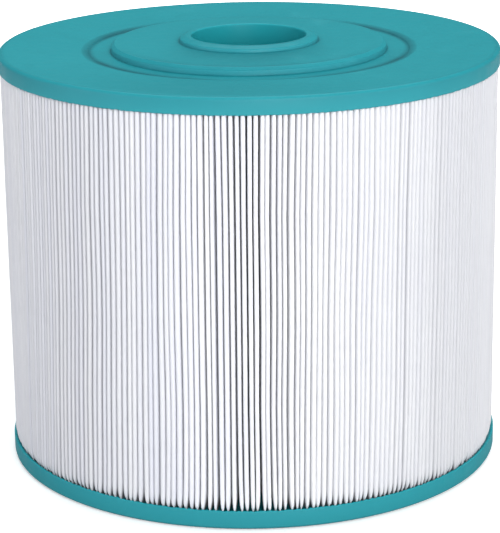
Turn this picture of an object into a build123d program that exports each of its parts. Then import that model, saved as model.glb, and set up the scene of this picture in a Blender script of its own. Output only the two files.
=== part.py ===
from build123d import *
import math
import os

# Pleated spa filter cartridge, open at both ends.
# Frame: origin at the centre of the underside, +Z up the cartridge axis, millimetres.
# The two end caps are cast polyurethane, poured round the ends of a pleat pack and of a
# perforated core tube, so each cap carries the imprint of the pleats and a seat for the core.

# ---------------------------------------------------------------- dimensions
# Both caps
CAP_R = 108.0  # outer radius (8-1/2 in cartridge)
BORE_R = 24.6  # through bore, 1-15/16 in class
RIM_FILLET = 1.5

# Top cap, from the outside in
BODY_H = 180.0  # cartridge underside to the outer edge of the top face
TOP_RIM_H = 7.4
TOP_UNDER_Z = BODY_H - TOP_RIM_H
DISH_R, DISH_Z = 72.0, 179.0  # the annulus dips to here, then rolls over into the sunken ring
LIP_EDGE_R, LIP_EDGE_Z = 69.3, 178.5  # top of the short wall round the sunken ring
MOAT_R, MOAT_Z = 68.8, 178.1  # foot of that wall, and floor of the sunken ring
PLATEAU_R = 59.4  # raised centre disc
PLATEAU_TOP_R, PLATEAU_Z = 57.9, 181.7  # its flat, inside the edge bevel
PLATEAU_WALL_Z = PLATEAU_Z - 1.3  # foot of that bevel
COLLAR_R = 29.7  # raised collar round the bore
COLLAR_WALL_Z = 183.3  # top of its straight outer wall
COLLAR_TOP_R, COLLAR_TOP_Z = BORE_R + 2.4, 184.4  # outer edge of its flat top

# Bottom cap
BOTTOM_RIM_H = 8.0
POUR_Z = 6.6  # level the resin was poured to inside the rim
LIP_R = 107.35  # inner edge of the rim's thin lip, just outside the fold tips
LIP_SLOPE_RUN = 1.2  # radial width of the slope from lip to poured level
RECESS_Z = 1.4  # depth of both ring recesses in the underside
RECESS_SLOPE_RUN = 1.2  # radial width of their sloping walls
HUB_RECESS_IN_R, HUB_RECESS_OUT_R = 33.0, 58.0
RECESS_IN_R, RECESS_OUT_R = 66.0, 94.0

# Pleated media
PLEATS = 280
SHEET_T = 0.5  # spunbond polyester sheet
PLEAT_R = 107.3  # outside of the fold tips
PLEAT_IN_R = 57.0  # innermost reach of the inner folds
TIP_RO = 0.90  # outside radius of an outer fold
VALLEY_RO = 0.60  # outside radius of an inner fold
PLEAT_Z0, PLEAT_Z1 = 4.4, 175.8  # pleat ends, cast into the caps
IMPRINT_OVERCUT = 2.0  # how far the imprint cuts run past the caps

# Seam bead
SEAM_ANGLE = math.radians(90.0)  # the seam pleat points along +Y
SEAM_DEPTH = 6.0  # how far the hot-melt bead runs in along the flanks
SEAM_CROWN_R = PLEAT_R - 0.35  # outermost reach of the bead

# Core tube
CORE_RO, CORE_RI = 56.6, 53.6
CORE_Z0, CORE_Z1 = 4.0, 176.6
CORE_MOUTH_CHAMFER = 0.6
HOLE_R = 4.5
HOLES_ROUND = 18
HOLE_ROWS = 11
ROW_Z0, ROW_Z1 = 18.0, 162.5  # first and last row of holes
DRILL_LENGTH = 8.0  # passes through one wall only

# Resin bead inside the core, where each cap was poured
RESIN_BEAD_W, RESIN_BEAD_H = 1.6, 1.2


# ---------------------------------------------------------------- pleat geometry
def polar(radius, angle, centre=(0, 0)):
    return (centre[0] + radius * math.cos(angle), centre[1] + radius * math.sin(angle))


def pleat_angle(index):
    """Direction of a fold tip; half indices give the inner folds between them."""
    return SEAM_ANGLE + index * 2 * math.pi / PLEATS


def crossed_tangent(tip, tip_r, valley, valley_r, side):
    """Points where a crossed tangent touches the tip circle and the valley circle."""
    dx, dy = valley[0] - tip[0], valley[1] - tip[1]
    turn = math.acos((tip_r + valley_r) / math.hypot(dx, dy))
    normal = math.atan2(dy, dx) + side * turn
    return polar(tip_r, normal, tip), polar(-valley_r, normal, valley)


def sheet_path(tip_r, valley_r):
    """One face of the sheet, from the seam pleat's outgoing flank round to its returning flank.

    The fold radii are as seen from that face. Each entry is a line (2 points) or arc (3 points).
    """
    tips = [polar(PLEAT_R - TIP_RO, pleat_angle(i)) for i in range(PLEATS + 1)]
    path = []
    for i in range(PLEATS):
        valley_angle = pleat_angle(i + 0.5)
        valley = polar(PLEAT_IN_R + VALLEY_RO, valley_angle)
        tip_out, valley_in = crossed_tangent(tips[i], tip_r, valley, valley_r, -1)
        tip_back, valley_out = crossed_tangent(tips[i + 1], tip_r, valley, valley_r, +1)
        if path:
            tip_crown = polar(tip_r, pleat_angle(i), tips[i])
            path.append((path[-1][-1], tip_crown, tip_out))
        path.append((tip_out, valley_in))
        path.append((valley_in, polar(-valley_r, valley_angle, valley), valley_out))
        path.append((valley_out, tip_back))
    return path


def along(start, end, length):
    """Point at a given length from start towards end."""
    fraction = length / math.dist(start, end)
    return tuple(s + (e - s) * fraction for s, e in zip(start, end))


def make_pleat_section(outer_path, inner_path):
    edges = []
    for points in outer_path + inner_path:
        make_edge = Edge.make_line if len(points) == 2 else Edge.make_three_point_arc
        edges.append(make_edge(*points))
    # close the two free ends of the sheet
    edges.append(Edge.make_line(outer_path[0][0], inner_path[0][0]))
    edges.append(Edge.make_line(outer_path[-1][-1], inner_path[-1][-1]))
    with BuildSketch() as section:
        make_face(edges)
    return section.sketch


def make_seam_section(inner_path):
    """Hot melt between the two free ends of the sheet, which meet as the seam pleat."""
    first_tip, first_valley = inner_path[0]
    last_valley, last_tip = inner_path[-1]
    with BuildSketch() as section:
        with BuildLine():
            Polyline(
                first_tip,
                along(first_tip, first_valley, SEAM_DEPTH),
                along(last_tip, last_valley, SEAM_DEPTH),
                last_tip,
            )
            ThreePointArc(last_tip, polar(SEAM_CROWN_R, SEAM_ANGLE), first_tip)
        make_face()
    return section.sketch


def extrude_pleat_length(section, clean):
    with BuildPart(Plane.XY.offset(PLEAT_Z0)) as piece:
        add(section)
        extrude(amount=PLEAT_Z1 - PLEAT_Z0, clean=clean)
    return piece.part


# ---------------------------------------------------------------- shared shapes
def draw_core_wall():
    """Cross-section of the core tube, drawn in the caller's sketch."""
    Circle(CORE_RO)
    Circle(CORE_RI, mode=Mode.SUBTRACT)


def resin_bead_points(z, height):
    """Radius, z of the triangular bead on a cap's inner face; height is signed."""
    return [(CORE_RI, z), (CORE_RI - RESIN_BEAD_W, z), (CORE_RI, z + height)]


def ring_edge(builder, radius, z):
    return builder.edges().filter_by(GeomType.CIRCLE).filter_by(
        lambda e: abs(e.radius - radius) < 0.01 and abs(e.arc_center.Z - z) < 0.01
    )


# ---------------------------------------------------------------- core tube
def make_core_tube():
    with BuildPart() as core:
        with BuildSketch(Plane.XY.offset(CORE_Z0)):
            draw_core_wall()
        extrude(amount=CORE_Z1 - CORE_Z0)
        # staggered rows of round holes, each drilled through one wall
        drills = []
        for row in range(HOLE_ROWS):
            z = ROW_Z0 + (ROW_Z1 - ROW_Z0) * row / (HOLE_ROWS - 1)
            for k in range(HOLES_ROUND):
                angle = math.radians(360.0 / HOLES_ROUND * (k + 0.5 * (row % 2)))
                drills.append(
                    Plane(
                        origin=(*polar((CORE_RO + CORE_RI) / 2, angle), z),
                        x_dir=(0, 0, 1),
                        z_dir=(*polar(1, angle), 0),
                    )
                )
        with Locations(*drills):
            Cylinder(HOLE_R, DRILL_LENGTH, mode=Mode.SUBTRACT)
        mouths = core.edges().filter_by(GeomType.CIRCLE).filter_by(
            lambda e: abs(e.radius - CORE_RI) < 0.01
        )
        chamfer(mouths, CORE_MOUTH_CHAMFER)
    return core.part


# ---------------------------------------------------------------- top end cap
TOP_PROFILE = [  # radius, z
    (BORE_R, TOP_UNDER_Z),
    (CAP_R, TOP_UNDER_Z),
    (CAP_R, BODY_H),
    (DISH_R, DISH_Z),
    (LIP_EDGE_R, LIP_EDGE_Z),
    (MOAT_R, MOAT_Z),
    (PLATEAU_R, MOAT_Z),
    (PLATEAU_R, PLATEAU_WALL_Z),
    (PLATEAU_TOP_R, PLATEAU_Z),
    (COLLAR_R, PLATEAU_Z),
    (COLLAR_R, COLLAR_WALL_Z),
    (COLLAR_TOP_R, COLLAR_TOP_Z),
    (BORE_R, COLLAR_TOP_Z),
]
TOP_FILLETS = [  # edge radius, edge z, fillet radius
    (CAP_R, BODY_H, RIM_FILLET),
    (CAP_R, TOP_UNDER_Z, 0.8),
    (DISH_R, DISH_Z, 4.0),
    (LIP_EDGE_R, LIP_EDGE_Z, 0.4),
    (PLATEAU_R, MOAT_Z, 0.6),
    (PLATEAU_R, PLATEAU_WALL_Z, 0.6),
    (PLATEAU_TOP_R, PLATEAU_Z, 0.6),
    (COLLAR_R, PLATEAU_Z, 0.7),
    (COLLAR_R, COLLAR_WALL_Z, 0.7),
    (COLLAR_TOP_R, COLLAR_TOP_Z, 0.9),
    (BORE_R, COLLAR_TOP_Z, 0.8),
    (BORE_R, TOP_UNDER_Z, 0.8),
]


def make_top_cap(pleat_section, seam_section):
    with BuildPart() as cap:
        with BuildSketch(Plane.XZ):
            with BuildLine():
                Polyline(*TOP_PROFILE, close=True)
            make_face()
        revolve(axis=Axis.Z)
        for radius, z, size in TOP_FILLETS:
            fillet(ring_edge(cap, radius, z), size)
        # seat for the core tube
        with BuildSketch(Plane.XY.offset(TOP_UNDER_Z)):
            draw_core_wall()
        extrude(amount=CORE_Z1 - TOP_UNDER_Z, mode=Mode.SUBTRACT)
        # resin bead inside the core
        with BuildSketch(Plane.XZ):
            with BuildLine():
                Polyline(*resin_bead_points(TOP_UNDER_Z, -RESIN_BEAD_H), close=True)
            make_face()
        revolve(axis=Axis.Z)
        # imprint of the pleats and of the seam bead, cut downwards
        with BuildSketch(Plane.XY.offset(PLEAT_Z1)):
            add(pleat_section)
            add(seam_section)
        depth = PLEAT_Z1 - TOP_UNDER_Z + IMPRINT_OVERCUT
        extrude(amount=-depth, mode=Mode.SUBTRACT, clean=False)
    return cap.part


# ---------------------------------------------------------------- bottom end cap
# Recess corners: mouth radii at z = 0, floor radii at RECESS_Z
RECESS_MOUTHS = [HUB_RECESS_IN_R, HUB_RECESS_OUT_R, RECESS_IN_R, RECESS_OUT_R]
RECESS_FLOORS = [
    HUB_RECESS_IN_R + RECESS_SLOPE_RUN,
    HUB_RECESS_OUT_R - RECESS_SLOPE_RUN,
    RECESS_IN_R + RECESS_SLOPE_RUN,
    RECESS_OUT_R - RECESS_SLOPE_RUN,
]
BOTTOM_PROFILE = [  # radius, z
    (BORE_R, 0),
    (RECESS_MOUTHS[0], 0),
    (RECESS_FLOORS[0], RECESS_Z),
    (RECESS_FLOORS[1], RECESS_Z),
    (RECESS_MOUTHS[1], 0),
    (RECESS_MOUTHS[2], 0),
    (RECESS_FLOORS[2], RECESS_Z),
    (RECESS_FLOORS[3], RECESS_Z),
    (RECESS_MOUTHS[3], 0),
    (CAP_R, 0),
    (CAP_R, BOTTOM_RIM_H),
    (LIP_R, BOTTOM_RIM_H),
    (LIP_R - LIP_SLOPE_RUN, POUR_Z),
    (BORE_R, POUR_Z),
]
BOTTOM_FILLETS = [  # edge radius, edge z, fillet radius
    (CAP_R, 0, RIM_FILLET),
    (CAP_R, BOTTOM_RIM_H, 0.3),
    *[(radius, 0, 0.5) for radius in RECESS_MOUTHS],
    *[(radius, RECESS_Z, 0.5) for radius in RECESS_FLOORS],
    (BORE_R, 0, 1.0),
    (BORE_R, POUR_Z, 0.8),
]


def make_bottom_cap(pleat_section, seam_section):
    with BuildPart() as cap:
        with BuildSketch(Plane.XZ):
            with BuildLine():
                Polyline(*BOTTOM_PROFILE, close=True)
            make_face()
        revolve(axis=Axis.Z)
        for radius, z, size in BOTTOM_FILLETS:
            fillet(ring_edge(cap, radius, z), size)
        # seat for the core tube
        with BuildSketch(Plane.XY.offset(CORE_Z0)):
            draw_core_wall()
        extrude(amount=POUR_Z - CORE_Z0, mode=Mode.SUBTRACT)
        # resin bead inside the core
        with BuildSketch(Plane.XZ):
            with BuildLine():
                Polyline(*resin_bead_points(POUR_Z, RESIN_BEAD_H), close=True)
            make_face()
        revolve(axis=Axis.Z)
        # imprint of the pleats and of the seam bead, cut upwards
        with BuildSketch(Plane.XY.offset(PLEAT_Z0)):
            add(pleat_section)
            add(seam_section)
        depth = BOTTOM_RIM_H - PLEAT_Z0 + IMPRINT_OVERCUT
        extrude(amount=depth, mode=Mode.SUBTRACT, clean=False)
    return cap.part


# ---------------------------------------------------------------- build and export
# The face of the sheet towards the water outside, and the face towards the core
outer_path = sheet_path(TIP_RO, VALLEY_RO - SHEET_T)
inner_path = sheet_path(TIP_RO - SHEET_T, VALLEY_RO)
pleats = make_pleat_section(outer_path, inner_path)
seam = make_seam_section(inner_path)

pieces = {
    "pleated_media": extrude_pleat_length(pleats, clean=False),
    "media_seam_bead": extrude_pleat_length(seam, clean=True),
    "core_tube": make_core_tube(),
    "top_end_cap": make_top_cap(pleats, seam),
    "bottom_end_cap": make_bottom_cap(pleats, seam),
}

os.makedirs("parts", exist_ok=True)
for name, part in pieces.items():
    part.label = name
    export_step(part, f"parts/{name}.step")
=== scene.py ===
import bpy
import math
import numpy as np
from functools import cached_property
from mathutils import Matrix, Vector


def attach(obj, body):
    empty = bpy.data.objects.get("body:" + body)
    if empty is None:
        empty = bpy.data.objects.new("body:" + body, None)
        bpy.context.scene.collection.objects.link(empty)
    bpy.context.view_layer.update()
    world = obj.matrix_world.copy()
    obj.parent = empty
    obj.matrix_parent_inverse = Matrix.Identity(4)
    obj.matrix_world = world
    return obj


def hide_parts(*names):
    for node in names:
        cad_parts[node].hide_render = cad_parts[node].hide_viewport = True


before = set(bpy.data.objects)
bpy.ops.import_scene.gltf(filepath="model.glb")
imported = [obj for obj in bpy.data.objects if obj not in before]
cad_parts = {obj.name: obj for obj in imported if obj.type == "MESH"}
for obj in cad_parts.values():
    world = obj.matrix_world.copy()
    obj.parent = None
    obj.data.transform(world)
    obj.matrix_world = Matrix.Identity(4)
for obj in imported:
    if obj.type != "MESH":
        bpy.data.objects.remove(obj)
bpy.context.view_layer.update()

MM = 0.001
TURN = 2 * math.pi

# ------------------------------------------------------------------ dimensions
CAP_R = 108.0
BODY_H = 180.0
TOP_RIM_H = 7.4
BOTTOM_RIM_H = 8.0
TOP_UNDER = BODY_H - TOP_RIM_H
BORE_R = 24.6

# top face, from the edge inwards: flat ring, sunken ring, raised disc, collar round the bore
SUNKEN_R = 68.8
SUNKEN_Z = 178.1
DISC_R = 59.4
DISC_Z = 181.7
COLLAR_R = 29.7
COLLAR_Z = 184.4

PLEATS = 280
PITCH = TURN / PLEATS
CAP_SEGMENTS = PLEATS * 4
SHEET_T = 0.5
PLEAT_R = 107.3
VALLEY_R = 57.0
VALLEY_BEND_R = 0.60  # radius of the sheet's inner face where it turns in a valley
TIP_DEPTH = 1.45  # depth of a fold tip over that of a half circle

# heights at which the sheet is drawn, closer together near the caps
RING_Z = np.array([
    4.4, 7.6, 8.3, 9.2, 10.4, 12.0, 14.6, 22.0, 36.0, 52.0, 68.0,
    84.0, 100.0, 116.0, 132.0, 148.0, 160.0, 167.0, 170.2, 172.0, 175.8,
])
RINGS = len(RING_Z)

# ------------------------------------------------------------------ tables round the pack
# Each row is (degrees from the front, value); negative degrees are to the left, towards -X.

# radians from a pleat's head round to its foot: the pack is twisted, most at the front left
LEAN = [
    (-180, -0.018), (-120, -0.026), (-80, -0.045), (-60, -0.054), (-45, -0.0525),
    (-30, -0.038), (-20, -0.030), (-12, -0.020), (-5, -0.008), (0, -0.004), (5, -0.006),
    (12, -0.010), (20, -0.010), (30, -0.018), (40, -0.026), (50, -0.028), (60, -0.024),
    (90, -0.014), (140, -0.012), (180, -0.018),
]
# exponent of the lean's curve down the pleat: 1 is straight
BOW = [(-180, 1.15), (-60, 1.35), (-10, 1.35), (10, 1.0), (60, 1.0), (180, 1.15)]
# share of its room that a fold fills
FULLNESS = [
    (-180, 0.85), (-70, 0.88), (-60, 0.905), (-45, 0.875), (-33, 0.87), (-26, 0.885),
    (-20, 0.87), (-14, 0.815), (-9, 0.745), (6, 0.742), (12, 0.84), (18, 0.875),
    (25, 0.90), (40, 0.885), (180, 0.85),
]
TINT_SHARE = [(-180, 0.5), (-70, 0.5), (-58, 1.0), (-12, 1.0), (8, 0.35), (180, 0.35)]
# painted shade: the cloth is painted greyer away from the front
SHADE_GREY = [
    (-180, 0.55), (-75, 0.48), (-68, 0.58), (-60, 0.85), (-51, 1.22), (-44, 1.48),
    (-38, 1.54), (-32, 1.24), (-26, 0.86), (-21, 0.74), (-16, 0.45), (-11, 0.03),
    (10, 0.04), (14, 0.08), (18.5, 0.30), (24, 0.34), (29, 0.60), (35, 0.90),
    (41, 1.12), (47.6, 1.37), (55, 1.40), (65, 1.35), (80, 1.00), (180, 0.55),
]
# how much the two sides of a fold differ in painted shade, by degrees either way from the front
SHADE_SIDES = [(0, 0.6), (20, 0.6), (35, 1.0), (48, 0.5), (60, 0.1), (180, 0.4)]
# painted shade in the gaps between folds
GAP_SHADE = [
    (-180, 0.8), (-75, 0.6), (-60, 0.5), (-45, 0.55), (-35, 0.6), (-25, 0.5), (-17, 0.7),
    (-9, 1.0), (13, 1.0), (19, 0.8), (25, 0.6), (33, 0.55), (42, 0.85), (75, 0.9), (180, 0.8),
]


def look_up(table, degrees):
    return np.interp(degrees, *zip(*table))


# ------------------------------------------------------------------ mesh helpers
def mesh_object(name, verts, faces, smooth=True):
    mesh = bpy.data.meshes.new(name)
    mesh.from_pydata([tuple(v) for v in verts], [], faces)
    mesh.validate()
    mesh.update()
    if smooth:
        mesh.polygons.foreach_set("use_smooth", [True] * len(mesh.polygons))
    obj = bpy.data.objects.new(name, mesh)
    bpy.context.scene.collection.objects.link(obj)
    return obj


def point_attribute(obj, name, values):
    attribute = obj.data.attributes.new(name, "FLOAT", "POINT")
    attribute.data.foreach_set("value", values.ravel().astype(np.float32))


def grid_faces(rows, cols, wrap_rows=False):
    """Quads over a grid of vertices whose columns wrap round, and its rows too where asked."""
    row, col = np.meshgrid(np.arange(rows if wrap_rows else rows - 1), np.arange(cols), indexing="ij")
    next_row, next_col = (row + 1) % rows, (col + 1) % cols
    quads = [
        row * cols + col,
        row * cols + next_col,
        next_row * cols + next_col,
        next_row * cols + col,
    ]
    return np.stack(quads, -1).reshape(-1, 4)


def smooth_step(x, low, high):
    t = np.clip((x - low) / (high - low), 0, 1)
    return t * t * (3 - 2 * t)


def front_angle(angle):
    """Angle from the front (-Y), positive towards +X, in -pi..pi."""
    return (angle + math.pi / 2 + math.pi) % TURN - math.pi


def wave(angle, z, seed, count, cycles, z_scale=0.02):
    """A smooth seeded field round the ring: a sum of cosines, about -1 to 1."""
    draw = np.random.default_rng(seed)
    total = 0
    for _ in range(count):
        turns = draw.integers(*cycles) * angle
        total = total + np.cos(turns + draw.uniform(0, 6.28) + z * draw.uniform(-z_scale, z_scale))
    return total / math.sqrt(count)


def directions(angle):
    """Unit vectors outwards and round the axis (anticlockwise from above) at an angle."""
    cos, sin = np.cos(angle), np.sin(angle)
    return np.stack([cos, sin], -1), np.stack([-sin, cos], -1)


# ------------------------------------------------------------------ pleat layout
SPACING_SPREAD = 0.085
SPACING_LIMITS = (0.76, 1.26)
BEND_LAYERS = [(14, 0.30), (5, 0.16), (1, 0.10)]  # pleats shared over, size in mm
BEND_KNOTS = [0, 0.25, 0.5, 0.75, 1]  # from the bottom cap to the top cap
BEND_SEED = 100
BEND_SHARE = 0.75
HALF_WIDTH_LIMITS = (0.45, 1.15)
MIN_HALF_GAP = 0.07
MAX_FOOT_SLIP = 0.5
FOOT_SLIP_FADE = 7.0  # height over which the slip dies away


def pleat_heads(rng):
    """Angles of the fold tops, unevenly spaced; the first is close to the back (+Y)."""
    noise = rng.normal(0, 1, PLEATS)
    # neighbours trade a little room
    noise = noise - np.roll(noise, 1) * 0.35
    spacing = np.clip(1 + SPACING_SPREAD * noise, *SPACING_LIMITS)
    spacing = spacing / spacing.mean()
    heads = np.concatenate([[0], np.cumsum(spacing)[:-1]]) * PITCH
    even = np.arange(PLEATS) * PITCH
    return math.pi / 2 + heads - (heads - even).mean()


def slow_bends(height):
    """Sideways bends along each pleat, in mm, shared partly with the neighbours."""
    bends = np.zeros((PLEATS, RINGS))
    for layer, (spread, size) in enumerate(BEND_LAYERS):
        draw = np.random.default_rng(BEND_SEED + layer)
        knots = draw.normal(0, 1, (PLEATS, len(BEND_KNOTS)))
        kernel = np.hanning(2 * spread + 3)
        kernel = kernel / math.sqrt((kernel**2).sum())
        margin = len(kernel)
        padded = np.concatenate([knots[-margin:], knots, knots[:margin]])
        mixed = np.stack([np.convolve(column, kernel, "same") for column in padded.T], 1)
        for i, row in enumerate(mixed[margin:-margin]):
            bends[i] += size * np.interp(np.clip(height, 0, 1), BEND_KNOTS, row)
    return bends


def lay_out_pleats(rng):
    """Degrees from the front per pleat; then centre angle, half width and tip radius,
    each pleats x rings."""
    heads = pleat_heads(rng)
    degrees = np.degrees(front_angle(heads))
    height = (RING_Z - BOTTOM_RIM_H) / (TOP_UNDER - BOTTOM_RIM_H)  # 0 at the bottom cap, 1 at the top
    path = np.clip(1 - height, 0, 1.05)[None, :] ** look_up(BOW, degrees)[:, None]
    centre = heads[:, None] + look_up(LEAN, degrees)[:, None] * path
    centre = centre + slow_bends(height) / PLEAT_R * BEND_SHARE

    # the tips stand a little short of the full radius, each by its own amount
    short = np.abs(rng.normal(0, 0.16, PLEATS))[:, None]
    ripple = wave(heads[:, None], RING_Z[None, :], seed=7, count=5, cycles=(3, 40), z_scale=0.05)
    tip_radius = PLEAT_R - short - 0.05 * np.abs(ripple)

    # width from the room on both sides, kept clear of the nearer neighbour
    room_next = (np.concatenate([centre[1:], centre[:1] + TURN]) - centre) * PLEAT_R
    room_prev = np.roll(room_next, 1, 0)
    tight = np.minimum(room_next, room_prev)
    half_width = 0.25 * tight + 0.125 * (room_next + room_prev)
    fullness = look_up(FULLNESS, degrees) + 0.045 * rng.normal(0, 1, PLEATS)
    half_width = np.minimum(half_width * fullness[:, None], 0.5 * tight - MIN_HALF_GAP)
    half_width = np.clip(half_width, *HALF_WIDTH_LIMITS)

    # fold tips draw in and narrow where the resin holds them
    foot_in = rng.uniform(0.9, 2.0, PLEATS)[:, None]
    foot_length = rng.uniform(3.2, 7.0, PLEATS)[:, None]
    head_in = rng.uniform(0.1, 0.6, PLEATS)[:, None]
    above_foot = np.clip((RING_Z[None, :] - BOTTOM_RIM_H + 0.5) / foot_length, 0, 1)
    below_head = np.clip((TOP_UNDER + 0.4 - RING_Z[None, :]) / 3.0, 0, 1)
    foot_pinch = 1 - np.sqrt(1 - (1 - above_foot) ** 2)  # round, like a fingertip
    head_pinch = (1 - below_head) ** 2
    tip_radius = tip_radius - foot_in * foot_pinch - head_in * head_pinch
    half_width = half_width * (1 - 0.70 * foot_pinch - 0.12 * head_pinch)

    # the feet sit a little out of step with the folds above
    slip = np.clip(rng.normal(0, 0.26, PLEATS), -MAX_FOOT_SLIP, MAX_FOOT_SLIP)
    fade = np.exp(-np.clip(RING_Z - BOTTOM_RIM_H, 0, None) / FOOT_SLIP_FADE)
    centre = centre + slip[:, None] * fade[None, :] / PLEAT_R
    return degrees, centre, half_width, tip_radius


# ------------------------------------------------------------------ pleated media
# Per pleat, each face of the sheet goes over the tip and then through the valley after it.
OUTER_TIP = np.radians([-90, -60, -30, 0, 30, 60, 90])
INNER_TIP = np.radians([-90, 0, 90])
VALLEY_STEPS = [(-1, 0), (0, -1), (1, 0)]  # round the axis, outwards; in bend radii
OUTER_POINTS = len(OUTER_TIP) + len(VALLEY_STEPS)
INNER_POINTS = len(INNER_TIP) + len(VALLEY_STEPS)
INNER_PARTNER = np.array([0, 0, 0, 1, 2, 2, 2, 3, 4, 5])  # inner point behind each outer point

# values at the ten outer points of a pleat: painted grey shade for the pack's left and right, painted
# gap shade, and the flanks
SHADE_LEFT = np.array([1.00, 1.30, 1.25, 0.80, 0.55, 0.65, 0.90, 1.0, 1.0, 1.0])
SHADE_RIGHT = SHADE_LEFT[[6, 5, 4, 3, 2, 1, 0, 7, 8, 9]]
SHADE_AT_POINT = np.array([0.10, 0, 0, 0, 0, 0, 0.10, 0.9, 0.9, 0.9])
FLANK = np.array([1, 0.2, 0, 0, 0, 0.2, 1, 1, 1, 1.0])


def sheet_face(centre, half_width, tip_radius, inner):
    """One face of the sheet at one height: pleats x points x 2."""
    out, around = directions(centre)
    following = np.concatenate([centre[1:], centre[:1] + TURN])
    valley_out, valley_around = directions(0.5 * (centre + following))
    curve = np.maximum(half_width - SHEET_T, 0.08) if inner else half_width
    bend = VALLEY_BEND_R if inner else VALLEY_BEND_R - SHEET_T
    points = []
    for turn in INNER_TIP if inner else OUTER_TIP:
        reach = tip_radius - TIP_DEPTH * half_width + TIP_DEPTH * curve * np.cos(turn)
        points.append(out * reach[:, None] + around * (curve * np.sin(turn))[:, None])
    for side, outward in VALLEY_STEPS:
        reach = VALLEY_R + VALLEY_BEND_R + outward * bend
        points.append(valley_out * reach + valley_around * (side * bend))
    return np.stack(points, 1)


def sheet_ends(inner_start):
    """Faces that close the sheet's two cut ends, from outer face to inner face."""
    around = PLEATS * OUTER_POINTS
    partner = (np.arange(PLEATS)[:, None] * INNER_POINTS + INNER_PARTNER).ravel().tolist()
    faces = []
    for ring, flip in ((0, True), (RINGS - 1, False)):
        inner = inner_start + ring * PLEATS * INNER_POINTS
        for i in range(around):
            j = (i + 1) % around
            face = [ring * around + i, ring * around + j, inner + partner[j]]
            if partner[i] != partner[j]:
                face.append(inner + partner[i])
            faces.append(face[::-1] if flip else face)
    return faces


def on_sheet(outer, inner):
    """Spreads values over rings x pleats x points, the outer face first."""
    return np.concatenate([
        np.broadcast_to(outer, (RINGS, PLEATS, OUTER_POINTS)).ravel(),
        np.broadcast_to(inner, (RINGS, PLEATS, INNER_POINTS)).ravel(),
    ])


def colour_media(media, degrees, rng):
    # a few pleats stand out in tint
    tint = np.clip(rng.normal(0.35, 0.2, PLEATS), 0, 1)
    tint[rng.choice(PLEATS, 26, replace=False)] = rng.uniform(0.75, 1.0, 26)
    tint = (tint * look_up(TINT_SHARE, degrees))[:, None]

    # painted shade: the side of each fold turned away from the front is painted the greyer one
    grey_shade = look_up(SHADE_GREY, degrees)[:, None]
    right = smooth_step(degrees, -25, 25)[:, None]
    share = look_up(SHADE_SIDES, np.abs(degrees))[:, None]
    sided = 1 + share * (SHADE_LEFT * (1 - right) + SHADE_RIGHT * right - 1)

    # painted shade: 0 on the tips, 1 deep in the folds; the flanks are also painted dark close to the
    # bottom cap, where shade falls
    fold_shade = SHADE_AT_POINT * look_up(GAP_SHADE, degrees)[:, None]
    at_foot = np.exp(-((np.clip(RING_Z - BOTTOM_RIM_H, 0, None) / 3.2) ** 2))
    fold_shade = np.maximum(fold_shade, 0.95 * FLANK * at_foot[:, None, None])

    point_attribute(media, "painted_grey_shade", on_sheet(np.clip(grey_shade * sided, 0, 1.9), grey_shade))
    point_attribute(media, "pleat_tint", on_sheet(tint, tint))
    point_attribute(media, "gap_shade_paint", on_sheet(fold_shade, 1.0))


def build_media(centre, half_width, tip_radius):
    verts = []
    for inner in (False, True):
        for k, z in enumerate(RING_Z):
            flat = sheet_face(centre[:, k], half_width[:, k], tip_radius[:, k], inner).reshape(-1, 2)
            verts.append(np.column_stack([flat, np.full(len(flat), z)]))
    inner_start = RINGS * PLEATS * OUTER_POINTS
    faces = grid_faces(RINGS, PLEATS * OUTER_POINTS).tolist()
    faces += (grid_faces(RINGS, PLEATS * INNER_POINTS)[:, ::-1] + inner_start).tolist()
    faces += sheet_ends(inner_start)
    return mesh_object("pleated_media_cloth", np.concatenate(verts) * MM, faces)


# ------------------------------------------------------------------ cap profiles
def rounded(corners, steps):
    """Corners (radius, z, fillet) of a closed profile, with the fillets as short chords."""
    out = []
    for i, (*place, fillet) in enumerate(corners):
        corner = np.array(place, float)
        if fillet <= 0:
            out.append(corner)
            continue
        back = np.array(corners[i - 1][:2], float) - corner
        ahead = np.array(corners[(i + 1) % len(corners)][:2], float) - corner
        back, ahead = back / np.linalg.norm(back), ahead / np.linalg.norm(ahead)
        half = math.acos(max(-1, min(1, float(back @ ahead)))) / 2
        bisector = (back + ahead) / np.linalg.norm(back + ahead)
        centre = corner + bisector * fillet / math.sin(half)
        start = corner + back * fillet / math.tan(half) - centre
        end = corner + ahead * fillet / math.tan(half) - centre
        first = math.atan2(start[1], start[0])
        sweep = (math.atan2(end[1], end[0]) - first + math.pi) % TURN - math.pi
        for k in range(steps + 1):
            angle = first + sweep * k / steps
            out.append(centre + fillet * np.array([math.cos(angle), math.sin(angle)]))
    return np.array(out)


def add_rings(profile, radii, z_low, z_high):
    """Splits the profile's long runs at the given radii, where they lie between two heights."""
    out = []
    for start, end in zip(profile, np.roll(profile, -1, 0)):
        out.append(start)
        low, high = min(start[0], end[0]) + 0.05, max(start[0], end[0]) - 0.05
        cuts = [(x - start[0]) / (end[0] - start[0]) for x in radii if low < x < high]
        for t in sorted(cuts):
            point = start + (end - start) * t
            if z_low < point[1] < z_high:
                out.append(point)
    return np.array(out)


def split_long(profile, longest):
    """Adds points along the long straight runs of a closed profile."""
    out = []
    for start, end in zip(profile, np.roll(profile, -1, 0)):
        out.append(start)
        steps = int(np.linalg.norm(end - start) // longest)
        for k in range(1, steps + 1):
            out.append(start + (end - start) * k / (steps + 1))
    return np.array(out)


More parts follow.
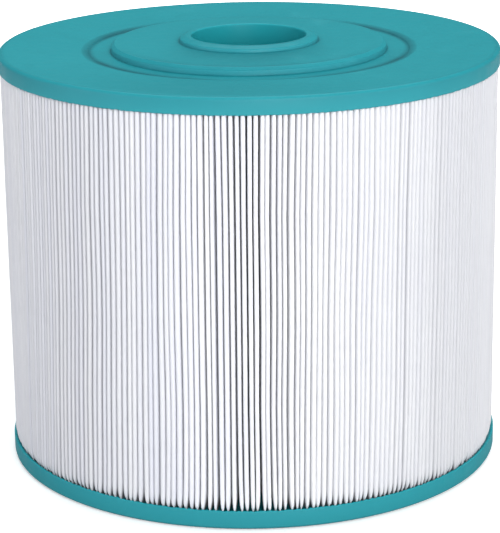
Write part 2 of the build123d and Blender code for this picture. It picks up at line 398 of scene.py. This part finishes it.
def lathe(name, profile, shape, painted_shade=None):
    """A closed ring of the profile round Z. shape moves the points a little; the shade function gives
    0 on open surface and 1 where shade is painted into the colour."""
    turns = np.linspace(0, TURN, CAP_SEGMENTS, endpoint=False)
    radius = np.repeat(profile[:, 0][:, None], CAP_SEGMENTS, 1)
    z = np.repeat(profile[:, 1][:, None], CAP_SEGMENTS, 1)
    angle = np.repeat(turns[None, :], len(profile), 0)
    shade_values = painted_shade(radius, z, angle) if painted_shade else np.zeros_like(radius)
    z = shape(radius, z, angle)
    verts = np.stack([radius * np.cos(angle), radius * np.sin(angle), z], -1).reshape(-1, 3) * MM
    faces = grid_faces(len(profile), CAP_SEGMENTS, wrap_rows=True)
    obj = mesh_object(name, verts, faces[:, ::-1].tolist())
    point_attribute(obj, "painted_shade", np.clip(shade_values, 0, 1))
    return obj


# ------------------------------------------------------------------ top cap
# (radius, z, fillet), from the bore along the underside, up the rim and back over the top
TOP_CORNERS = [
    (BORE_R, TOP_UNDER, 0.8),
    (CAP_R, TOP_UNDER, 0.7),
    (CAP_R, BODY_H, 1.6),
    (72.0, 179.0, 4.0),
    (69.3, 178.5, 0.4),
    (SUNKEN_R, SUNKEN_Z, 0.0),
    (DISC_R, SUNKEN_Z, 0.6),
    (DISC_R, 180.4, 0.6),
    (57.9, DISC_Z, 0.6),
    (COLLAR_R, DISC_Z, 0.7),
    (COLLAR_R, 183.3, 0.7),
    (27.0, COLLAR_Z, 0.9),
    (BORE_R, COLLAR_Z, 0.8),
]
# extra rings on the top face, to carry the painted shade
TOP_RINGS = [
    60.2, 61.4, 65.0, 66.2, 67.1, 67.9, 68.4, 70.0, 70.8, 71.5, 72.6, 74.0, 30.3,
    31.0, 32.2, 34.0, 37.0, 41.0, 46.0, 52.0, 78.0, 86.0, 95.0, 103.0, 105.0,
]


def top_shape(radius, z, angle):
    """Slow waves in the top face and a finer ripple in the rim's lower edge."""
    face = 0.05 * wave(angle, z, seed=3, count=6, cycles=(2, 12))
    z = z + face * smooth_step(radius, 60, 100) * (z > 176)
    edge = (z < TOP_UNDER + 1.2) & (radius > 105.5)
    return z + np.where(edge, 0.07 * wave(angle, z, seed=5, count=12, cycles=(20, 220)), 0)


def top_painted_shade(radius, z, angle):
    """Painted shade in the corners of the raised disc, the collar and the sunken ring, a painted
    shadow of the collar in front of it, and painted shade dimming faces that catch the light.
    """

    def corner(at_radius, at_z, width, height):
        return np.exp(-(((radius - at_radius) / width) ** 2) - ((z - at_z) / height) ** 2)

    def between(low, high):
        return (radius > low) * (radius < high)

    toward = np.clip(-np.sin(angle), 0, 1)  # 1 at the front, 0 from the sides back
    # strongest a little off the two sides; in front, fainter on the right than on the left
    across = np.abs(np.cos(angle))
    side = across**0.8 * (1 - 0.42 * smooth_step(across, 0.88, 1.0))
    side = side * (1 - np.where(np.cos(angle) > 0, 0.24, 0.10) * np.cos(angle) * toward)

    # the collar's soft painted shadow spreading over the disc, widest in front
    spread = np.exp(-np.clip(radius - 30.0, 0, None) / (2.0 + 16.0 * toward**2.5))
    spread = spread * between(29.9, 57.0) * (np.abs(z - DISC_Z) < 0.3)

    # painted shade in the sunken ring: on its outer wall, and on its floor from the wall inwards
    wall = np.clip((72.4 - radius) / 3.2, 0, 1) * between(68.4, 72.5)
    in_ring = (radius <= 68.85) * (radius > 59.9) * (z < 178.6)
    floor_shade = np.exp(-(((SUNKEN_R - radius) / (1.2 + 3.2 * toward)) ** 2)) * in_ring

    front = front_angle(angle) + 0.17
    # each patch is painted shade; on the disc's bevel, the rounded outer edge and the collar's
    # sloping top it dims where light catches them
    patches = [
        0.75 * corner(DISC_R, SUNKEN_Z, 0.55, 0.55),  # foot of the disc
        0.30 * toward * between(57.4, 59.5) * (z > 180.3),  # bevel of the disc
        0.17 * (radius > 106.2) * (z > 178.3),  # rounded outer edge
        0.75 * corner(COLLAR_R, DISC_Z, 1.0, 0.45),  # foot of the collar
        0.52 * toward**0.7 * spread,
        0.30 * toward * between(26.6, 29.75) * (z > 183.2),  # sloping top of the collar
        (0.08 + 0.80 * side) * wall**0.62,
        (0.22 + 0.75 * side) * (0.75 + 0.45 * toward) * floor_shade,
        0.24 * toward**0.6 * in_ring,
        # a broad faint patch of painted shade on the front of the flat ring, a little to the left
        0.15 * np.exp(-((front / 0.42) ** 2)) * between(72.5, 104.5),
    ]
    return np.maximum.reduce(patches) * (z > 177.0)


def build_top_cap():
    profile = add_rings(rounded(TOP_CORNERS, steps=5), TOP_RINGS, z_low=177.5, z_high=182.5)
    profile = split_long(profile, longest=14.0)
    return lathe("top_end_cap_casting", profile, top_shape, top_painted_shade)


# ------------------------------------------------------------------ bottom cap
GROOVE_H = 1.4
BOTTOM_INSIDE_Z = 6.6
# (radius, z, fillet), from the bore along the grooved underside, up the rim and back inside
BOTTOM_CORNERS = [
    (BORE_R, 0, 1.0),
    (33.0, 0, 0.5),
    (34.2, GROOVE_H, 0.5),
    (56.8, GROOVE_H, 0.5),
    (58.0, 0, 0.5),
    (66.0, 0, 0.5),
    (67.2, GROOVE_H, 0.5),
    (92.8, GROOVE_H, 0.5),
    (94.0, 0, 0.5),
    (CAP_R, 0, 1.6),
    (CAP_R, BOTTOM_RIM_H, 0.3),
    (107.2, BOTTOM_RIM_H, 0.2),
    (105.6, BOTTOM_INSIDE_Z, 0.0),
    (BORE_R, BOTTOM_INSIDE_Z, 0.8),
]


def bottom_shape(radius, z, angle):
    """An uneven upper edge on the rim."""
    ripple = wave(angle, z, seed=11, count=10, cycles=(30, 280))
    fine = np.random.default_rng(12).normal(0, 1, CAP_SEGMENTS)[None, :]
    edge = (z > BOTTOM_RIM_H - 0.5) & (radius > 106.0)
    return z + np.where(edge, 0.10 * ripple + 0.09 * np.clip(fine, -1.5, 1.5), 0)


def build_bottom_cap():
    profile = split_long(rounded(BOTTOM_CORNERS, steps=4), longest=20.0)
    return lathe("bottom_end_cap_casting", profile, bottom_shape)


# ------------------------------------------------------------------ seam bead
SEAM_STEPS = [0.0, 1.2, 2.6, 4.2, 6.0]  # depths behind the fold tip


def build_seam(centre, half_width, tip_radius):
    """A strip of hot melt filling the first pleat, at the back, just behind its fold."""
    verts = []
    for angle, half, tip, z in zip(centre[0], half_width[0], tip_radius[0], RING_Z):
        out, around = directions(angle)
        sides = [(step, 1) for step in SEAM_STEPS] + [(step, -1) for step in SEAM_STEPS[::-1]]
        for step, side in sides:
            width = max(0.06, (half - SHEET_T) * 0.9 * (1 - step / 50))
            x, y = out * (tip - half - step) + side * around * width
            verts.append((x * MM, y * MM, z * MM))
    count = 2 * len(SEAM_STEPS)
    last = (RINGS - 1) * count
    faces = grid_faces(RINGS, count)[:, ::-1].tolist()
    faces += [list(range(count)), list(range(last, last + count))[::-1]]
    return mesh_object("media_seam_hot_melt", verts, faces, smooth=False)


# ------------------------------------------------------------------ node helpers
class Nodes:
    """Short names for building a node tree. Values may be numbers, colours or sockets."""

    def __init__(self, tree):
        self.tree = tree

    @cached_property
    def coord(self):
        return self.add("ShaderNodeTexCoord").outputs["Object"]

    def add(self, kind, **values):
        node = self.tree.nodes.new(kind)
        for key, value in values.items():
            setattr(node, key, value)
        return node

    def plug(self, socket, value):
        if isinstance(value, bpy.types.NodeSocket):
            self.tree.links.new(value, socket)
        else:
            socket.default_value = value

    def fill(self, node, **values):
        for key, value in values.items():
            self.plug(node.inputs[key.replace("_", " ")], value)
        return node

    def stretched(self, scale, rotation):
        node = self.add("ShaderNodeMapping")
        return self.fill(node, Vector=self.coord, Scale=scale, Rotation=rotation).outputs[0]

    def noise(self, scale, detail=2, roughness=0.5, vector=None, distortion=0.0):
        node = self.fill(
            self.add("ShaderNodeTexNoise"), Vector=vector or self.coord, Scale=scale,
            Detail=detail, Roughness=roughness, Distortion=distortion,
        )
        return node.outputs["Fac"]

    def attribute(self, name):
        return self.add("ShaderNodeAttribute", attribute_name=name).outputs["Fac"]

    def axes(self, vector):
        return self.fill(self.add("ShaderNodeSeparateXYZ"), Vector=vector).outputs

    def remap(self, value, across=(0.3, 0.7), to=(0.0, 1.0)):
        node = self.add("ShaderNodeMapRange")
        for i, item in enumerate((value, *across, *to)):
            self.plug(node.inputs[i], item)
        return node.outputs[0]

    def math(self, operation, first, second):
        node = self.add("ShaderNodeMath", operation=operation)
        self.plug(node.inputs[0], first)
        self.plug(node.inputs[1], second)
        return node.outputs[0]

    def mix(self, amount, first, second):
        node = self.add("ShaderNodeMix", data_type="RGBA")
        for i, item in ((0, amount), (6, first), (7, second)):
            self.plug(node.inputs[i], item)
        return node.outputs[2]

    def bump(self, height, strength, distance, under=None):
        node = self.add("ShaderNodeBump")
        self.fill(node, Height=height, Strength=strength, Distance=distance)
        if under:
            self.fill(node, Normal=under)
        return node.outputs[0]


class Surface(Nodes):
    """A material with one Principled shader."""

    def __init__(self, name):
        self.material = bpy.data.materials.new(name)
        self.material.use_nodes = True
        super().__init__(self.material.node_tree)
        self.tree.nodes.clear()
        output = self.add("ShaderNodeOutputMaterial")
        self.shader = self.add("ShaderNodeBsdfPrincipled")
        self.fill(output, Surface=self.shader.outputs[0])

    def finish(self, **values):
        self.fill(self.shader, **values)
        return self.material


def srgb(*channels):
    """Linear colour from 0-255 sRGB channels."""
    shares = [c / 255 for c in channels]
    linear = [c / 12.92 if c <= 0.04045 else ((c + 0.055) / 1.055) ** 2.4 for c in shares]
    return (*linear, 1.0)


# ------------------------------------------------------------------ materials
def urethane():
    m = Surface("cast_urethane_teal")
    # painted by facing: upward faces and the bore wall take a less red top tone that offsets the
    # sheen they catch, the rest the side tone
    cloudy = m.remap(m.noise(scale=9.0, detail=3))
    normal = m.axes(m.add("ShaderNodeNewGeometry").outputs["Normal"])
    place = m.axes(m.coord)
    x_squared = m.math("MULTIPLY", place["X"], place["X"])
    y_squared = m.math("MULTIPLY", place["Y"], place["Y"])
    radius_squared = m.math("ADD", x_squared, y_squared)
    bore = m.remap(radius_squared, across=(0.0258**2, 0.0264**2), to=(1.0, 0.0))
    top = m.math("MAXIMUM", m.remap(normal["Z"], across=(0.2, 0.9)), bore)
    side_tone = m.mix(cloudy, srgb(51, 150, 161), srgb(56, 156, 167))
    # painted shade: the bottom cap is painted a touch darker, near the floor
    low = m.remap(place["Z"], across=(0.010, 0.020), to=(1.0, 0.0))
    side_tone = m.mix(low, side_tone, srgb(45, 146, 157))
    top_tone = m.mix(cloudy, srgb(29, 150, 161), srgb(35, 156, 167))
    base = m.mix(top, side_tone, top_tone)
    # rare pale specks
    cells = m.fill(m.add("ShaderNodeTexVoronoi", feature="F1"), Vector=m.coord, Scale=420.0)
    specks = m.remap(cells.outputs["Distance"], across=(0.0, 0.10), to=(1.0, 0.0))
    rare = m.remap(m.noise(scale=60.0, detail=1), across=(0.60, 0.68))
    specks = m.math("MULTIPLY", m.math("MULTIPLY", specks, rare), 0.35)
    base = m.mix(specks, base, srgb(120, 196, 205))
    # faint scuffs
    scuff_map = m.stretched(scale=(1.0, 1.0, 3.0), rotation=(0, 0, 0.6))
    scuff = m.noise(scale=34.0, detail=6, roughness=0.7, vector=scuff_map)
    scuff = m.remap(scuff, across=(0.60, 0.74))
    base = m.mix(m.math("MULTIPLY", scuff, 0.10), base, srgb(96, 184, 194))
    # painted shade in creases and recesses, from ambient occlusion and the painted shade attribute
    occlusion = m.add("ShaderNodeAmbientOcclusion", samples=8, only_local=True)
    m.fill(occlusion, Distance=0.006)
    shade = m.remap(occlusion.outputs["AO"], across=(0.24, 0.62), to=(0.42, 0.0))
    uneven = m.remap(m.noise(scale=55.0, detail=3, roughness=0.6), to=(0.80, 1.10))
    shade = m.math("MAXIMUM", shade, m.math("MULTIPLY", m.attribute("painted_shade"), uneven))
    base = m.mix(shade, base, srgb(0, 78, 90))
    gloss = m.remap(m.noise(scale=160.0), to=(0.40, 0.50))
    swell = m.bump(m.noise(scale=40.0, roughness=0.4), strength=0.22, distance=0.0009)
    grain = m.bump(m.noise(scale=700.0), strength=0.06, distance=0.00010, under=swell)
    return m.finish(
        Base_Color=base,
        Roughness=m.math("ADD", gloss, m.math("MULTIPLY", scuff, 0.12)),
        Normal=grain,
        IOR=1.5,
        Specular_IOR_Level=0.14,
        Subsurface_Weight=0.06,
        Subsurface_Radius=(0.001, 0.002, 0.002),
        Subsurface_Scale=1.0,
    )


# long thin fibres in three directions: scale, rotation, detail, roughness, distortion
FIBRES = [
    ((2600, 2600, 420), (0.5, 0.2, 0.1), 4, 0.65, 0.6),
    ((2200, 2200, 500), (-0.6, 0.4, 0.9), 4, 0.65, 0.6),
    ((700, 700, 1900), (0.2, -0.3, 0.4), 3, 0.6, 0.4),
]


def cloth():
    m = Surface("spunbond_polyester")
    first, second, third = [
        m.noise(1.0, detail, roughness, m.stretched(scale, rotation), distortion)
        for scale, rotation, detail, roughness, distortion in FIBRES
    ]
    fibres = m.math("MAXIMUM", m.math("MAXIMUM", first, second), third)
    clump = m.noise(scale=190.0, detail=4, roughness=0.6)
    base = m.mix(m.remap(m.noise(scale=16.0)), srgb(240, 241, 245), srgb(246, 247, 249))
    tint = m.math("MULTIPLY", m.attribute("pleat_tint"), 0.55)
    base = m.mix(tint, base, srgb(226, 229, 246))
    base = m.mix(m.remap(fibres, across=(0.45, 0.80), to=(0.0, 0.22)), base, srgb(255, 255, 255))
    base = m.mix(m.remap(clump, across=(0.30, 0.55), to=(0.10, 0.0)), base, srgb(205, 208, 218))
    # painted shade: the cloth greyer away from the front and on one side of each fold
    grey_shade = m.math("MULTIPLY", m.attribute("painted_grey_shade"), 0.52)
    base = m.mix(grey_shade, base, srgb(189, 190, 196))
    # painted shade deep in the folds and at their feet
    fold_shade = m.remap(m.attribute("gap_shade_paint"), across=(0.02, 1.0), to=(0.0, 0.88))
    base = m.mix(fold_shade, base, srgb(60, 62, 72))
    lumps = m.bump(clump, strength=0.35, distance=0.00022)
    return m.finish(
        Base_Color=base,
        Roughness=m.remap(clump, to=(0.78, 0.92)),
        Normal=m.bump(fibres, strength=0.55, distance=0.00010, under=lumps),
        Specular_IOR_Level=0.25,
        Sheen_Weight=0.10,
        Sheen_Roughness=0.5,
    )


def hot_melt():
    m = Surface("hot_melt_bead")
    tone = m.noise(scale=120.0, detail=3, roughness=0.6)
    return m.finish(
        Base_Color=m.mix(m.remap(tone), srgb(226, 219, 196), srgb(236, 231, 214)),
        Roughness=m.remap(tone, to=(0.3, 0.45)),
        Normal=m.bump(m.noise(scale=260.0, detail=3), strength=0.5, distance=0.0004),
        Subsurface_Weight=0.1,
        Subsurface_Radius=(0.001, 0.001, 0.001),
    )


def core_plastic():
    m = Surface("moulded_core_plastic")
    tone = m.noise(scale=25.0, detail=3)
    swell = m.bump(m.noise(scale=70.0), strength=0.2, distance=0.0006)
    return m.finish(
        Base_Color=m.mix(m.remap(tone), srgb(222, 222, 216), srgb(230, 230, 225)),
        Roughness=m.remap(tone, to=(0.42, 0.52)),
        Normal=m.bump(m.noise(scale=1100.0), strength=0.12, distance=0.0001, under=swell),
    )


def studio_floor():
    """White to the camera, and a quieter grey for the light it throws on to the object."""
    m = Surface("studio_floor")
    seen = m.add("ShaderNodeLightPath").outputs["Is Camera Ray"]
    far = m.add("ShaderNodeVectorMath", operation="LENGTH")
    m.plug(far.inputs[0], m.add("ShaderNodeNewGeometry").outputs["Position"])
    # stays white out to the edge
    glow = m.remap(far.outputs["Value"], across=(0.5, 1.1), to=(0.34, 1.0))
    return m.finish(
        Base_Color=m.mix(seen, (0.42, 0.42, 0.425, 1.0), (0.93, 0.93, 0.935, 1.0)),
        Roughness=0.9,
        Specular_IOR_Level=0.1,
        Emission_Color=(1, 1, 1, 1),
        Emission_Strength=m.math("MULTIPLY", seen, glow),
    )


# ------------------------------------------------------------------ build
rng = np.random.default_rng(41)
front_degrees, *pleats = lay_out_pleats(rng)
media = build_media(*pleats)
colour_media(media, front_degrees, rng)
top_cap = build_top_cap()
bottom_cap = build_bottom_cap()
seam = build_seam(*pleats)

teal = urethane()
for cap in (top_cap, bottom_cap):
    cap.data.materials.append(teal)
media.data.materials.append(cloth())
seam.data.materials.append(hot_melt())
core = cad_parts["core_tube"]
core.data.materials.clear()
core.data.materials.append(core_plastic())

PARTS = [
    (media, "pleated_media", "filter_fabric"),
    (seam, "media_seam_bead", "hot_melt"),
    (top_cap, "top_end_cap", "end_cap_urethane"),
    (bottom_cap, "bottom_end_cap", "end_cap_urethane"),
]
for part, _, _ in PARTS:
    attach(part, "root")
for part, replaced, _ in PARTS:
    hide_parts(replaced)

# ------------------------------------------------------------------ floor and world
corners = [(-6, -6, 0), (6, -6, 0), (6, 6, 0), (-6, 6, 0)]
floor = mesh_object("floor", corners, [(0, 1, 2, 3)], smooth=False)
floor.location.z = -0.0004
floor.data.materials.append(studio_floor())

world = bpy.data.worlds.new("studio")
bpy.context.scene.world = world
world.use_nodes = True
sky = Nodes(world.node_tree)
ray = sky.add("ShaderNodeLightPath").outputs
# diffuse surfaces receive the first strength; glossy ones mirror the second, a dark studio
level = sky.remap(ray["Is Glossy Ray"], across=(0.0, 1.0), to=(0.42, 0.12))
# beyond the floor the camera sees white
strength = sky.math("MAXIMUM", level, ray["Is Camera Ray"])
sky.fill(sky.tree.nodes["Background"], Color=(1.0, 1.0, 1.0, 1.0), Strength=strength)


# ------------------------------------------------------------------ lights
def area(name, at, target, size, energy, colour=(1, 1, 1)):
    data = bpy.data.lights.new(name, "AREA")
    data.shape = "RECTANGLE"
    data.size, data.size_y = size
    data.energy = energy
    data.color = colour
    obj = bpy.data.objects.new(name, data)
    obj.location = at
    obj.rotation_euler = (Vector(target) - Vector(at)).to_track_quat("-Z", "Y").to_euler()
    bpy.context.scene.collection.objects.link(obj)
    return obj


MIDDLE = (0, 0, 0.09)
PANEL = (0.9, 0.9)
lights = [
    area("key", (0.37, -1.38, 0.55), MIDDLE, PANEL, energy=17.6),
    area("fill", (-1.25, -0.42, 0.28), MIDDLE, PANEL, energy=5.2, colour=(0.92, 0.94, 1.0)),
    area("side", (1.25, -0.42, 0.5), MIDDLE, PANEL, energy=2.3),
    area("overhead", (0.05, 0.5, 1.45), (0, 0, 0.18), size=(1.3, 1.3), energy=13.4),
]
# two low strips behind, below the top face so that it gets none of their light
STRIP_Z = 0.088
for name, x in (("back_left", -0.74), ("back_right", 0.74)):
    strip = area(name, (x, 1.17, STRIP_Z), (0, 0, STRIP_Z), size=(1.0, 0.15), energy=6.5)
    strip.visible_glossy = False
    lights.append(strip)

# ------------------------------------------------------------------ camera and view
CAMERA_AT = (0.00030726, -0.93085222, 0.35891111)
CAMERA_YAW = 0.001154
CAMERA_DIP = 0.291334  # below the horizontal
CAMERA_ROLL = -0.013389

camera_data = bpy.data.cameras.new("camera")
camera = bpy.data.objects.new("camera", camera_data)
bpy.context.scene.collection.objects.link(camera)
camera_data.sensor_width = 36.0
camera_data.lens = 147.65741
camera_data.clip_start, camera_data.clip_end = 0.05, 50
camera.matrix_world = (
    Matrix.Translation(CAMERA_AT)
    @ Matrix.Rotation(CAMERA_YAW, 4, "Z")
    @ Matrix.Rotation(math.pi / 2 - CAMERA_DIP, 4, "X")
    @ Matrix.Rotation(CAMERA_ROLL, 4, "Z")
)
bpy.context.scene.camera = camera

view = bpy.context.scene.view_settings
view.view_transform = "Standard"
view.look = "None"
view.exposure = 0.0
view.gamma = 1.0
